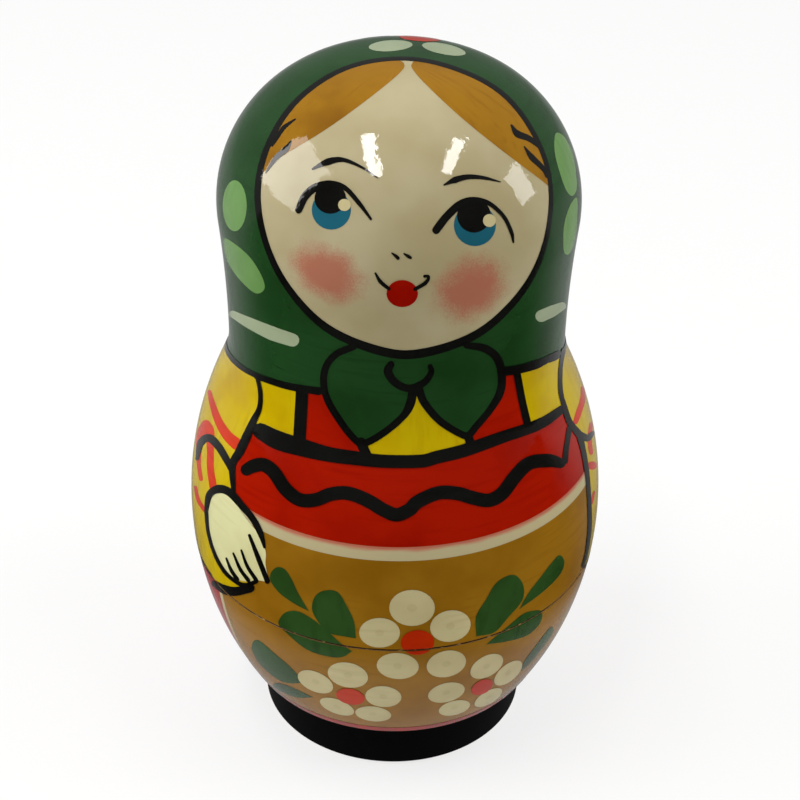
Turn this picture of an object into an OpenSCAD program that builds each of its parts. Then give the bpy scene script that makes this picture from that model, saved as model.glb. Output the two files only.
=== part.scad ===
// Matryoshka nesting doll: a set of seven turned wooden dolls, one inside the other.
// Six dolls are hollow and part at a seam into a lower cup with a raised spigot
// and an upper bell with a matching socket. The seventh, innermost doll is solid.
// Lengths are in millimetres. The set stands on z = 0 and is turned about the z axis.

/* [Outline of the largest doll] */
// Widest diameter of the body
body_d = 91; // [80:0.5:110]
// Width of the head as a share of the body's
head_share = 0.8176; // [0.76:0.001:0.86]
// Width of the neck as a share of the body's
neck_share = 0.7846; // [0.7:0.001:0.8]
// Width of the body's lower edge as a share of its widest part
edge_share = 0.7429; // [0.68:0.001:0.8]
// Width of the foot as a share of the body's
foot_share = 0.6615; // [0.6:0.001:0.7]
// Height of the foot
foot_h = 13.5; // [10:0.5:18]
// Rise from the top of the foot to the widest part of the body
belly_rise = 42.3; // [36:0.1:56]
// Radius of the hollow between the shoulders and the neck
neck_hollow_r = 22.5; // [12:0.5:40]
// Rise from the neck to the widest part of the head
head_rise = 29.6; // [20:0.1:40]
// Rise from the widest part of the head to the top of the crown
crown_rise = 30.4; // [26:0.1:36]
// Radius of the flattened crown
crown_r = 70; // [58:1:100]

/* [Seam between the halves] */
// Rise from the top of the foot to the seam
seam_rise = 33.9; // [28:0.1:40]
// Height of the spigot above the seam
spigot_h = 7.5; // [5:0.5:10]
// Thickness of the spigot as a share of the wall
spigot_share = 0.5; // [0.4:0.05:0.6]
// Gap between spigot and socket, on the radius
fit_gap = 0.08; // [0.05:0.01:0.2]
// Room between the end of the spigot and the end of its socket
end_gap = 0.6; // [0.3:0.1:1.5]
// Chamfer that eases both edges at the seam
seam_break = 0.25; // [0.1:0.05:0.6]

/* [Hollows] */
// Wall of the largest doll as a share of its body's radius
wall_share = 0.1055; // [0.08:0.0005:0.13]
// How much thinner each smaller doll's wall is, as a share of the same radius
wall_step_share = 0.011; // [0.004:0.0005:0.014]
// Floor under the hollow of the largest doll
floor_t = 15; // [12:0.5:20]
// Wood over the hollow in the head of the largest doll
crown_wall = 6; // [4:0.5:9]
// Lean of the wall where it rises from the floor, in degrees from upright
bowl_lean = 36; // [25:1:45]
// Gap round each doll inside the next larger one
nest_gap = 0.5; // [0.3:0.1:1.2]

/* [Eased edges] */
// Chamfer round the bottom of the foot
foot_break = 0.8; // [0.3:0.1:2]
// Width of the chamfer under the body's lower edge
edge_break = 1; // [0.4:0.1:2]
// Chamfer round the tip of the spigot
spigot_break = 0.5; // [0.2:0.1:1]

/* [Hidden] */
$fn = 128;

// Slope of the chamfer under the body's lower edge, in degrees from level
edge_slope = 30;
// How far one arc is drawn inside the next, so that two arcs always cross in one line
blend_lap = 0.004;
// How much tighter the crown's arc is drawn, for the same reason
crown_lap = 0.25;
// How far the upper arc of the neck reaches past the neck
neck_lap = 1;
// Steps in which the smaller dolls' sizes are chosen, as a share of the largest
size_step_share = 0.001;
// How far cuts and joined regions reach past the solid
overrun = 1;

// Colours as the photograph shows them
scarf_green = [0.16, 0.33, 0.18];
apron_ochre = [0.49, 0.35, 0.12];
skirt_red = [0.74, 0.16, 0.06];

// Radii of the largest doll
body_r = body_d / 2;
head_r = body_r * head_share;
neck_r = body_r * neck_share;
edge_r = body_r * edge_share;
foot_r = body_r * foot_share;

// Arcs of the outline, each tangent to the next
edge_inset = body_r - edge_r;
neck_inset = head_r - neck_r;
shoulder_drop = body_r - neck_r;
body_arc_r = pow(belly_rise, 2) / (2 * edge_inset) + edge_inset / 2;
body_centre = body_r - body_arc_r;
side_arc_r = (2 * crown_r * crown_rise - pow(crown_rise, 2) - pow(head_r, 2)) / (2 * (crown_r - head_r));
side_centre = head_r - side_arc_r;
neck_sweep_r = pow(head_rise, 2) / (2 * neck_inset) + neck_inset / 2 - side_arc_r;
crown_arc_r = crown_r - crown_lap;

// Levels of the largest doll
belly_z = foot_h + belly_rise;
seam_z = foot_h + seam_rise;
neck_z = belly_z + sqrt(2 * shoulder_drop * (body_arc_r + neck_hollow_r) - pow(shoulder_drop, 2));
head_z = neck_z + head_rise;
doll_h = head_z + crown_rise;
shoulder_z = belly_z + (neck_z - belly_z) * body_arc_r / (body_arc_r + neck_hollow_r);
jaw_z = head_z + (neck_z - head_z) * side_arc_r / (side_arc_r + neck_sweep_r);
brow_r = side_centre * crown_r / (crown_r - side_arc_r);
hollow_top_z = head_z + side_arc_r - crown_wall;
seam_r = body_centre + sqrt(pow(body_arc_r, 2) - pow(belly_z - seam_z, 2));

// Each smaller doll is the largest that still slips into the hollow round it:
// past the neck with its head, through the spigot with its body, and under the crown
function wall_of(i) = body_r * (wall_share - i * wall_step_share);
function largest_inside(size, wall) = min(
    (neck_r * size - wall - nest_gap) / head_r,
    (seam_r * size - wall - nest_gap) / body_r,
    ((hollow_top_z - floor_t) * size - nest_gap) / doll_h
);
// Rounded down to a whole share, so that each foot meets the floor under it
function whole(size) = floor(size / size_step_share) * size_step_share;
function size_of(i) = i == 0 ? 1 : whole(largest_inside(size_of(i - 1), wall_of(i - 1)));
function stand_of(i) = i == 0 ? 0 : stand_of(i - 1) + floor_t * size_of(i - 1);

// Radii that the two halves of a hollow doll share
function spigot_r(i) = seam_r * size_of(i) - wall_of(i) * (1 - spigot_share);
function neck_bore_r(i) = neck_r * size_of(i) - wall_of(i);
function foot_well_r(i) = foot_r * size_of(i + 1) + nest_gap;

// Flat regions, drawn from the axis outwards with the height as y
module disc(centre_r, centre_z, radius) {
    translate([centre_r, centre_z]) circle(radius);
}

module band(low, high, reach) {
    translate([0, low]) square([reach, high - low]);
}

module foot_region() {
    polygon([
        [0, 0], [foot_r - foot_break, 0], [foot_r, foot_break],
        [foot_r, foot_h + overrun], [0, foot_h + overrun]
    ]);
}

// The body's arc, with its lower edge chamfered
module body_region() {
    flat_r = edge_r - edge_break;
    intersection() {
        disc(body_centre, belly_z, body_arc_r);
        polygon([
            [0, foot_h], [flat_r, foot_h],
            [body_r + overrun, foot_h + (body_r + overrun - flat_r) * tan(edge_slope)],
            [body_r + overrun, neck_z], [0, neck_z]
        ]);
    }
}

// The hollow that leads from the shoulders up to the neck
module shoulder_region() {
    centre = neck_r + neck_hollow_r;
    difference() {
        band(shoulder_z, neck_z, centre);
        disc(centre, neck_z, neck_hollow_r + 2 * blend_lap);
    }
}

// The long shallow curve from the neck to the side of the head
module jaw_region() {
    centre = neck_r + neck_sweep_r;
    difference() {
        band(neck_z - neck_lap, jaw_z, centre);
        disc(centre, neck_z, neck_sweep_r + blend_lap);
    }
}

module head_region() {
    intersection() {
        disc(side_centre, head_z, side_arc_r);
        band(neck_z, doll_h, body_r);
    }
    band(neck_z, head_z, max(side_centre, overrun));
}

module crown_region() {
    intersection() {
        disc(0, doll_h - crown_arc_r, crown_arc_r);
        band(head_z - overrun, doll_h + overrun, brow_r);
    }
}

// Half section of a whole doll
module outline(i) {
    scale(size_of(i)) union() {
        foot_region();
        body_region();
        shoulder_region();
        jaw_region();
        head_region();
        crown_region();
    }
}

// Hollow that follows the body at the thickness of the wall
module belly_hollow(i) {
    disc(body_centre * size_of(i), belly_z * size_of(i), body_arc_r * size_of(i) - wall_of(i));
}

// Hollow of a lower half: a flat floor and a bowl, with a well for the foot that stands in it
module cup_hollow(i) {
    floor_z = floor_t * size_of(i);
    rim_z = (seam_z + spigot_h) * size_of(i) + overrun;
    well_r = foot_well_r(i);
    intersection() {
        belly_hollow(i);
        polygon([
            [0, floor_z], [well_r, floor_z],
            [well_r + (rim_z - floor_z) * tan(bowl_lean), rim_z], [0, rim_z]
        ]);
    }
    band(floor_z, floor_z + foot_h * size_of(i + 1), well_r);
}

// End of the hollow in the head: it follows the head's side and ends flat under the crown
module head_hollow(i) {
    size = size_of(i);
    intersection() {
        band(head_z * size - overrun, doll_h * size, neck_bore_r(i));
        union() {
            disc(side_centre * size, head_z * size, (side_arc_r - crown_wall) * size);
            band(neck_z * size, hollow_top_z * size - blend_lap, side_centre * size);
        }
    }
}

// Hollow of an upper half: the socket, the belly, a bore through the neck and the end in the head
module bell_hollow(i) {
    size = size_of(i);
    band((seam_z - overrun) * size, (seam_z + spigot_h + end_gap) * size, spigot_r(i) + fit_gap);
    intersection() {
        belly_hollow(i);
        band(seam_z * size, neck_z * size, body_r * size);
    }
    band(belly_z * size, head_z * size, neck_bore_r(i));
    head_hollow(i);
}

// Spigot that stands up from the shoulder of a lower half
module spigot_region(i) {
    size = size_of(i);
    tip_z = (seam_z + spigot_h) * size;
    ease = spigot_break * size;
    polygon([
        [0, seam_z * size - overrun], [spigot_r(i), seam_z * size - overrun],
        [spigot_r(i), tip_z - ease], [spigot_r(i) - ease, tip_z], [0, tip_z]
    ]);
}

// Notch that eases both edges at the seam
module seam_notch(i) {
    depth = seam_break + overrun;
    translate([seam_r * size_of(i) - seam_break, seam_z * size_of(i)])
        polygon([[0, 0], [depth, depth], [depth, -depth]]);
}

module bottom_half(i) {
    size = size_of(i);
    translate([0, 0, stand_of(i)]) rotate_extrude() difference() {
        union() {
            intersection() {
                outline(i);
                band(0, seam_z * size, body_r * size + overrun);
            }
            spigot_region(i);
        }
        cup_hollow(i);
        seam_notch(i);
    }
}

module top_half(i) {
    size = size_of(i);
    translate([0, 0, stand_of(i)]) rotate_extrude() difference() {
        intersection() {
            outline(i);
            band(seam_z * size, doll_h * size + overrun, body_r * size + overrun);
        }
        bell_hollow(i);
        seam_notch(i);
    }
}

module solid_doll(i) {
    translate([0, 0, stand_of(i)]) rotate_extrude() outline(i);
}

module outer_top() { color(scarf_green) top_half(0); }
module outer_bottom() { color(apron_ochre) bottom_half(0); }
module second_top() { color(scarf_green) top_half(1); }
module second_bottom() { color(apron_ochre) bottom_half(1); }
module third_top() { color(scarf_green) top_half(2); }
module third_bottom() { color(apron_ochre) bottom_half(2); }
module fourth_top() { color(scarf_green) top_half(3); }
module fourth_bottom() { color(apron_ochre) bottom_half(3); }
module fifth_top() { color(scarf_green) top_half(4); }
module fifth_bottom() { color(apron_ochre) bottom_half(4); }
module sixth_top() { color(scarf_green) top_half(5); }
module sixth_bottom() { color(apron_ochre) bottom_half(5); }
module innermost_doll() { color(skirt_red) solid_doll(6); }

outer_top();
outer_bottom();
second_top();
second_bottom();
third_top();
third_bottom();
fourth_top();
fourth_bottom();
fifth_top();
fifth_bottom();
sixth_top();
sixth_bottom();
innermost_doll();
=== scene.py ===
"""Looks of the nesting doll: painted and lacquered outside, bare turned wood inside."""

import math
from collections import namedtuple

import bpy
import numpy as np
from mathutils import Matrix, Vector
from mathutils.geometry import delaunay_2d_cdt


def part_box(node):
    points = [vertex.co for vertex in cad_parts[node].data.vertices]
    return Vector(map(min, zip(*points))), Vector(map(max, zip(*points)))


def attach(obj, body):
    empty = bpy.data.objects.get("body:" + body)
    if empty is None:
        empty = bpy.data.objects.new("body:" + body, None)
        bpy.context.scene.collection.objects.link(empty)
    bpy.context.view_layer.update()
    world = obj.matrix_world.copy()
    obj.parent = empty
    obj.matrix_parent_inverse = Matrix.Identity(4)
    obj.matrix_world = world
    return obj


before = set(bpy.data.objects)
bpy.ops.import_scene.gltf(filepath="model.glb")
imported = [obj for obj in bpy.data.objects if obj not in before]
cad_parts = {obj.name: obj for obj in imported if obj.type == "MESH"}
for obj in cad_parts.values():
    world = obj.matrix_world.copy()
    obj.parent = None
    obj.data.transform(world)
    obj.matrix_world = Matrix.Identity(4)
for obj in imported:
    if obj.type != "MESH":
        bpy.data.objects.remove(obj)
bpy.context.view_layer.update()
MM = 0.001
TINY = 1e-9

# Outline of the largest doll in millimetres: arcs that meet without a corner
top_low, top_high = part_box("outer_top")
SEAM_Z = top_low.z / MM
BODY_R = top_high.x / MM
HEIGHT = top_high.z / MM
HEAD_SHARE = 0.8176
NECK_SHARE = 0.7846
EDGE_SHARE = 0.7429
FOOT_SHARE = 0.6615
FOOT_H = 13.5
BELLY_RISE = 42.3
NECK_HOLLOW_R = 22.5
HEAD_RISE = 29.6
CROWN_RISE = 30.4
CROWN_R = 70.0
EDGE_BREAK = 1.0
EDGE_SLOPE = math.radians(30)
EDGE_REACH_SHARE = 1.52
FOOT_BREAK = 0.8
SEAM_BREAK = 0.28

HEAD_R = BODY_R * HEAD_SHARE
NECK_R = BODY_R * NECK_SHARE
EDGE_R = BODY_R * EDGE_SHARE
FOOT_R = BODY_R * FOOT_SHARE
EDGE_INSET = BODY_R - EDGE_R
NECK_INSET = HEAD_R - NECK_R
BODY_ARC = BELLY_RISE**2 / (2 * EDGE_INSET) + EDGE_INSET / 2
SIDE_ARC = (2 * CROWN_R * CROWN_RISE - CROWN_RISE**2 - HEAD_R**2) / (2 * (CROWN_R - HEAD_R))
SWEEP_ARC = HEAD_RISE**2 / (2 * NECK_INSET) + NECK_INSET / 2 - SIDE_ARC
SIDE_CENTRE = HEAD_R - SIDE_ARC
BELLY_Z = FOOT_H + BELLY_RISE
HEAD_Z = HEIGHT - CROWN_RISE
NECK_Z = HEAD_Z - HEAD_RISE
SHOULDER_Z = BELLY_Z + (NECK_Z - BELLY_Z) * BODY_ARC / (BODY_ARC + NECK_HOLLOW_R)
JAW_Z = HEAD_Z - HEAD_RISE * SIDE_ARC / (SIDE_ARC + SWEEP_ARC)
BROW_R = SIDE_CENTRE * CROWN_R / (CROWN_R - SIDE_ARC)
BROW_Z = HEIGHT - CROWN_R + math.sqrt(CROWN_R**2 - BROW_R**2)

# Each arc: the height it starts at, its centre, its radius, and 1 if it bulges or -1 if it is hollow
ARCS = np.array([
    (FOOT_H, BODY_R - BODY_ARC, BELLY_Z, BODY_ARC, 1),
    (SHOULDER_Z, NECK_R + NECK_HOLLOW_R, NECK_Z, NECK_HOLLOW_R, -1),
    (NECK_Z, NECK_R + SWEEP_ARC, NECK_Z, SWEEP_ARC, -1),
    (JAW_Z, SIDE_CENTRE, HEAD_Z, SIDE_ARC, 1),
    (BROW_Z, 0, HEIGHT - CROWN_R, CROWN_R, 1),
])


def arc_at(z):
    """Centre radius, centre height, radius and bulge of the arc at each height."""
    at = np.searchsorted(ARCS[:, 0], z, side="right") - 1
    return ARCS[np.clip(at, 0, len(ARCS) - 1), 1:].T


def outline_radius(z):
    """Radius of the largest doll at each height, and less than zero outside it."""
    z = np.asarray(z, float)
    centre, level, radius, bulge = arc_at(z)
    found = centre + bulge * np.sqrt(np.maximum(radius**2 - (z - level) ** 2, 0))
    found = np.where(z < FOOT_H, FOOT_R, found)
    return np.where((z < 0) | (z > HEIGHT), -1, found)


def outward(points):
    """Outward unit normals of the largest doll at points on its body or head."""
    z = points[:, 2]
    centre, level, radius, bulge = arc_at(z)
    reach = np.hypot(points[:, 0], points[:, 1])
    out = bulge * (outline_radius(np.minimum(z, HEIGHT)) - centre) / radius
    side = points[:, :2] / np.maximum(reach, TINY)[:, None]
    found = np.column_stack([side * out[:, None], bulge * (z - level) / radius])
    return found / np.linalg.norm(found, axis=1)[:, None]


def on_doll(angles, heights):
    """Points of the largest doll at angles in degrees from the front, to the right, and heights."""
    turn = np.radians(angles)
    heights = np.asarray(heights, float)
    r = outline_radius(heights)
    return np.column_stack([r * np.sin(turn), -r * np.cos(turn), heights])


# Length along the outline from its lower edge up, to space rows evenly
EDGE_Z = FOOT_H + math.tan(EDGE_SLOPE) * EDGE_BREAK * EDGE_REACH_SHARE
LEVEL_STEPS = 4000
LEVELS = HEIGHT - (HEIGHT - EDGE_Z) * np.linspace(1, 0, LEVEL_STEPS) ** 2
RISES = np.concatenate([[0], np.cumsum(np.hypot(np.diff(LEVELS), np.diff(outline_radius(LEVELS))))])

# The camera of the photograph, in millimetres and pixels
IMAGE_PX = 800
FOCAL_PX = 1938
EYE = Vector((0, -352, 315.85))
AIM = Vector((0.84, 0, 80.06))
ROLL = math.radians(0.9)
SENSOR = 36

forward = (AIM - EYE).normalized()
level_right = forward.cross(Vector((0, 0, 1))).normalized()
level_up = level_right.cross(forward)
right = level_right * math.cos(ROLL) + level_up * math.sin(ROLL)
up = level_up * math.cos(ROLL) - level_right * math.sin(ROLL)

# How closely rays are followed to the doll, in millimetres
RAY_REACH = 115
RAY_STEP = 0.5
RAY_HALVINGS = 24


def cast(origins, directions):
    """Where rays first meet the largest doll. Each ray starts level with the doll's middle."""
    def inside(t):
        p = origins + directions * t[:, None]
        return np.hypot(p[:, 0], p[:, 1]) < outline_radius(p[:, 2])
    first = np.full(len(origins), np.nan)
    for t in np.arange(-RAY_REACH, RAY_REACH, RAY_STEP):
        new = np.isnan(first) & inside(np.full(len(origins), t))
        first[new] = t
    low, high = first - RAY_STEP, first
    for _ in range(RAY_HALVINGS):
        mid = (low + high) / 2
        hit = inside(mid)
        low, high = np.where(hit, low, mid), np.where(hit, mid, high)
    return origins + directions * high[:, None]


def from_photo(pixels):
    """Points of the doll seen at pixels of the photograph."""
    across = pixels[:, 0] - IMAGE_PX / 2
    down = pixels[:, 1] - IMAGE_PX / 2
    directions = np.array(forward) * FOCAL_PX + np.outer(across, right) - np.outer(down, up)
    directions /= np.linalg.norm(directions, axis=1)[:, None]
    middle = (AIM - EYE).length
    found = cast(np.array(EYE) + directions * middle, directions)
    missed = pixels[np.isnan(found[:, 0])]
    if len(missed):
        raise ValueError(f"painted points miss the doll: {missed.round().tolist()}")
    return found


def from_above(plan):
    """Points of the crown over places in millimetres to the right and to the back of the axis."""
    reach = np.hypot(plan[:, 0], plan[:, 1])
    levels = np.linspace(HEAD_Z, HEIGHT, LEVEL_STEPS)
    heights = np.interp(-reach, -outline_radius(levels), levels)
    return np.column_stack([plan, heights])


def from_side(flat):
    """Points of the largest doll from rows of an angle and a height."""
    return on_doll(flat[:, 0], flat[:, 1])


# Curves in a flat drawing
CURVE_STEPS = 6
CAP_STEPS = 5
OVAL_STEPS = 28


def smooth(points, closed=False):
    """A smooth curve through points, as a list of places."""
    p = np.array(points, float)
    n = len(p)
    if closed:
        p = np.vstack([p[-1], p, p[0], p[1]])
    else:
        p = np.vstack([2 * p[0] - p[1], p, 2 * p[-1] - p[-2]])
    spans = n if closed else n - 1
    found = []
    for i in range(spans):
        a, b, c, d = p[i:i + 4]
        for t in np.arange(CURVE_STEPS) / CURVE_STEPS:
            found.append(0.5 * (2 * b + (c - a) * t + (2 * a - 5 * b + 4 * c - d) * t**2
                                + (3 * b - a - 3 * c + d) * t**3))
    if not closed:
        found.append(p[-2])
    return np.array(found)


def along(values, count, closed=False):
    """Values at the points of a curve, or one for all of them, spread over all its places."""
    values = np.ones(count) * values
    if closed:
        values = np.append(values, values[0])
    places = np.arange((len(values) - 1) * CURVE_STEPS + (0 if closed else 1)) / CURVE_STEPS
    return np.interp(places, np.arange(len(values)), values)


def sides(curve, closed=False):
    """Unit vectors to the left of a curve at each place."""
    if closed:
        run = np.roll(curve, -1, axis=0) - np.roll(curve, 1, axis=0)
    else:
        run = np.gradient(curve, axis=0)
    run /= np.maximum(np.linalg.norm(run, axis=1), TINY)[:, None]
    return np.column_stack([-run[:, 1], run[:, 0]])


def cap(centre, start, half):
    """Round end of a brush stroke, from one side to the other."""
    turns = np.linspace(0, math.pi, CAP_STEPS + 2)[1:-1]
    angle = math.atan2(start[1], start[0])
    return [centre + half * np.array([math.cos(angle - t), math.sin(angle - t)]) for t in turns]


def stroke(points, widths):
    """Outline of a brush stroke with round ends along points."""
    curve = smooth(points)
    half = along(widths, len(points)) / 2
    left = sides(curve)
    one = curve + left * half[:, None]
    other = curve - left * half[:, None]
    end = cap(curve[-1], left[-1], half[-1])
    begin = cap(curve[0], -left[0], half[0])
    return np.vstack([one, end, other[::-1], begin])


def ring(points, widths):
    """Outline of a closed brush stroke, cut open at one place."""
    curve = smooth(points, closed=True)
    half = along(widths, len(points), closed=True) / 2
    left = sides(curve, closed=True)
    one = curve + left * half[:, None]
    other = curve - left * half[:, None]
    return np.vstack([one, one[:1], other[:1], other[::-1]])


def blob(points):
    """A closed smooth outline."""
    return smooth(points, closed=True)


def leaf(points):
    """A closed outline that is smooth but for a point at its first place."""
    return smooth(list(points) + [points[0]])[:-1]


def panel(points):
    """A closed outline with straight sides."""
    return np.array(points, float)


def oval(x, y, wide, high, tilt=0):
    """An ellipse from its centre, half sizes, and tilt in degrees, clockwise in the photograph."""
    turns = np.linspace(0, 2 * math.pi, OVAL_STEPS, endpoint=False)
    lean = math.radians(tilt)
    a, b = wide * np.cos(turns), high * np.sin(turns)
    return np.column_stack([x + a * math.cos(lean) - b * math.sin(lean),
                            y + a * math.sin(lean) + b * math.cos(lean)])


# Flat fills: shares are of the pitch of the grid, and points over TOP_Z are settled from above
CLEAR_SHARE = 0.4
LONG_SHARE = 1.25
ROW_SHARE = math.sqrt(0.75)
SPLIT_ROUNDS = 5
MERGE_GAP = 1e-4
WELDS_PER_MM = 1000
TOP_RISE = 10
TOP_Z = HEAD_Z + TOP_RISE
PIXELS_PER_MM = 4.5
MM_PER_DEGREE = 0.75
SQUEEZE = np.array([MM_PER_DEGREE, 1])
Sheet = namedtuple("Sheet", "points triangles")

# Triangles in place of one with none to three edges halved: 0 to 2 are its corners, 3 to 5 the edges' middles
SPLITS = [
    [(0, 1, 2)],
    [(0, 3, 2), (3, 1, 2)],
    [(3, 1, 4), (0, 3, 4), (0, 4, 2)],
    [(0, 3, 5), (3, 1, 4), (5, 4, 2), (3, 4, 5)],
]


def winds_round(loop, places):
    """Which places lie inside a loop."""
    turns = np.zeros(len(places), int)
    x, y = places[:, 0], places[:, 1]
    for a, b in zip(loop, np.roll(loop, -1, axis=0)):
        left = (b[0] - a[0]) * (y - a[1]) - (x - a[0]) * (b[1] - a[1])
        turns += (a[1] <= y) & (b[1] > y) & (left > 0)
        turns -= (a[1] > y) & (b[1] <= y) & (left < 0)
    return turns != 0


def covered(loops, places):
    """Which places lie inside any of the loops."""
    return np.any([winds_round(loop, places) for loop in loops], axis=0)


def clear_of(loop, places, gap):
    """Which places keep a gap from a loop."""
    run = np.roll(loop, -1, axis=0) - loop
    long = np.maximum((run**2).sum(axis=1), TINY)
    share = ((places[:, None] - loop) * run).sum(axis=2) / long
    nearest = loop + np.clip(share, 0, 1)[:, :, None] * run
    return ((places[:, None] - nearest) ** 2).sum(axis=2).min(axis=1) > gap**2


def fill(loops, pitch):
    """Points and triangles that fill the loops, with a grid of points inside."""
    every = np.vstack(loops)
    low, high = every.min(axis=0), every.max(axis=0)
    rows = np.arange(low[1], high[1], pitch * ROW_SHARE)
    columns = np.arange(low[0], high[0], pitch)
    grid = [(x + (i % 2) * pitch / 2, y) for i, y in enumerate(rows) for x in columns]
    grid = np.array(grid).reshape(-1, 2)
    keep = covered(loops, grid)
    edges, at = [], 0
    for loop in loops:
        keep &= clear_of(loop, grid, pitch * CLEAR_SHARE)
        edges += [(at + i, at + (i + 1) % len(loop)) for i in range(len(loop))]
        at += len(loop)
    points = np.vstack([every, grid[keep]])
    made = delaunay_2d_cdt([Vector(p) for p in points], edges, [], 0, MERGE_GAP)
    flat = np.array([tuple(v) for v in made[0]])
    triangles = np.array([f for f in made[2] if len(f) == 3])
    return flat, triangles[covered(loops, flat[triangles].mean(axis=1))]


def compact(points, triangles):
    """A sheet without unused points."""
    used, renamed = np.unique(triangles, return_inverse=True)
    return Sheet(points[used], renamed.reshape(-1, 3))


def faced_out(points, triangles):
    """A sheet whose triangles all face away from the doll, without unused points."""
    a, b, c = (points[triangles[:, i]] for i in range(3))
    facing = np.cross(b - a, c - a)
    flip = (facing * outward((a + b + c) / 3)).sum(axis=1) < 0
    return compact(points, np.where(flip[:, None], triangles[:, ::-1], triangles))


def settled(points):
    """Moves points that are near the largest doll onto it."""
    reach = np.maximum(np.hypot(points[:, 0], points[:, 1]), TINY)
    beside = points.copy()
    beside[:, :2] *= (outline_radius(points[:, 2]) / reach)[:, None]
    return np.where((points[:, 2] > TOP_Z)[:, None], from_above(points[:, :2]), beside)


def split_long(sheet, longest):
    """Halves every edge that is too long, once, and the triangles on both its sides."""
    t = sheet.triangles
    pairs = np.stack([t, np.roll(t, -1, axis=1)], axis=2).reshape(-1, 2)
    edges, which = np.unique(np.sort(pairs, axis=1), axis=0, return_inverse=True)
    ends = sheet.points[edges]
    long = np.linalg.norm(ends[:, 0] - ends[:, 1], axis=1) > longest
    middle = np.full(len(edges), -1)
    middle[long] = len(sheet.points) + np.arange(long.sum())
    points = np.vstack([sheet.points, settled(ends[long].mean(axis=1))])
    m = middle[which.reshape(-1, 3)]
    count = (m >= 0).sum(axis=1)
    only_halved = np.argmax(m >= 0, axis=1)
    past_whole = np.argmin(m, axis=1) + 1
    turn = np.where(count == 1, only_halved, np.where(count == 2, past_whole, 0))
    order = (turn[:, None] + np.arange(3)) % 3
    six = np.hstack([np.take_along_axis(part, order, axis=1) for part in (t, m)])
    made = [six[count == halved][:, row] for halved, rows in enumerate(SPLITS) for row in rows]
    return Sheet(points, np.vstack(made)), long.any()


def refined(sheet, longest):
    """A sheet with no edge much longer than a limit, so that it follows the doll closely."""
    for _ in range(SPLIT_ROUNDS):
        sheet, more = split_long(sheet, longest)
        if not more:
            break
    return sheet


def laid(loops, pitch, place, spacing=1, squeeze=1):
    """A sheet that fills flat loops, put on the doll by a function and fine enough to follow it."""
    flat, triangles = fill([loop * squeeze for loop in loops], pitch * spacing)
    return refined(faced_out(place(flat / squeeze), triangles), pitch * LONG_SHARE)


def coat(low, high, start, end, pitch):
    """A coat of paint between two heights, each a number or a function of the angle in degrees."""
    columns = int((end - start) * MM_PER_DEGREE / pitch) + 1
    angles = np.linspace(start, end, columns + 1)
    bottom = low(angles) if callable(low) else np.full(len(angles), low)
    top = high(angles) if callable(high) else np.full(len(angles), high)
    begin = np.interp(bottom, LEVELS, RISES)
    finish = np.interp(top, LEVELS, RISES)
    rows = max(int((finish - begin).max() / pitch), 1)
    shares = np.linspace(0, 1, rows + 1)[:, None]
    heights = np.interp(begin + (finish - begin) * shares, RISES, LEVELS)
    points = on_doll(np.tile(angles, rows + 1), heights.ravel())
    wide = columns + 1
    corner = (np.arange(rows)[:, None] * wide + np.arange(columns)).ravel()
    triangles = np.vstack([
        np.column_stack([corner, corner + 1, corner + wide + 1]),
        np.column_stack([corner, corner + wide + 1, corner + wide]),
    ])
    return faced_out(*welded(points, triangles))


def welded(points, triangles):
    """Joins points that lie in one place, such as the two ends of a whole turn."""
    keys = np.round(points * WELDS_PER_MM).astype(int)
    _, first, renamed = np.unique(keys, axis=0, return_index=True, return_inverse=True)
    triangles = renamed.reshape(-1)[triangles]
    whole = (triangles[:, 0] != triangles[:, 1]) & (triangles[:, 1] != triangles[:, 2])
    whole &= triangles[:, 0] != triangles[:, 2]
    return points[first], triangles[whole]


def cut(sheet, level, above):
    """The part of a sheet above or below a height."""
    over = (sheet.points[:, 2] - level) * (1 if above else -1)
    inside = (over >= 0)[sheet.triangles]
    whole = inside.all(axis=1)
    points, made, new = list(sheet.points), [], {}
    for triangle in sheet.triangles[inside.any(axis=1) & ~whole]:
        corners = []
        for a, b in zip(triangle, np.roll(triangle, -1)):
            if over[a] >= 0:
                corners.append(a)
            if (over[a] >= 0) != (over[b] >= 0):
                key = (min(a, b), max(a, b))
                if key not in new:
                    share = over[a] / (over[a] - over[b])
                    new[key] = len(points)
                    points.append(points[a] + (points[b] - points[a]) * share)
                corners.append(new[key])
        made += [(corners[0], corners[i], corners[i + 1]) for i in range(1, len(corners) - 1)]
    triangles = np.vstack([sheet.triangles[whole], np.array(made, int).reshape(-1, 3)])
    part = compact(np.array(points), triangles)
    return part._replace(points=settled(part.points))


# Paint in millimetres: how high its layers lie and how thick it is, and the step of a turned ring in degrees
BASE_LIFT = 0.04
LAYER_LIFT = 0.026
PAINT_DEPTH = 0.07
UNDERCUT = 0.18
TURN_STEP = 3


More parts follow.
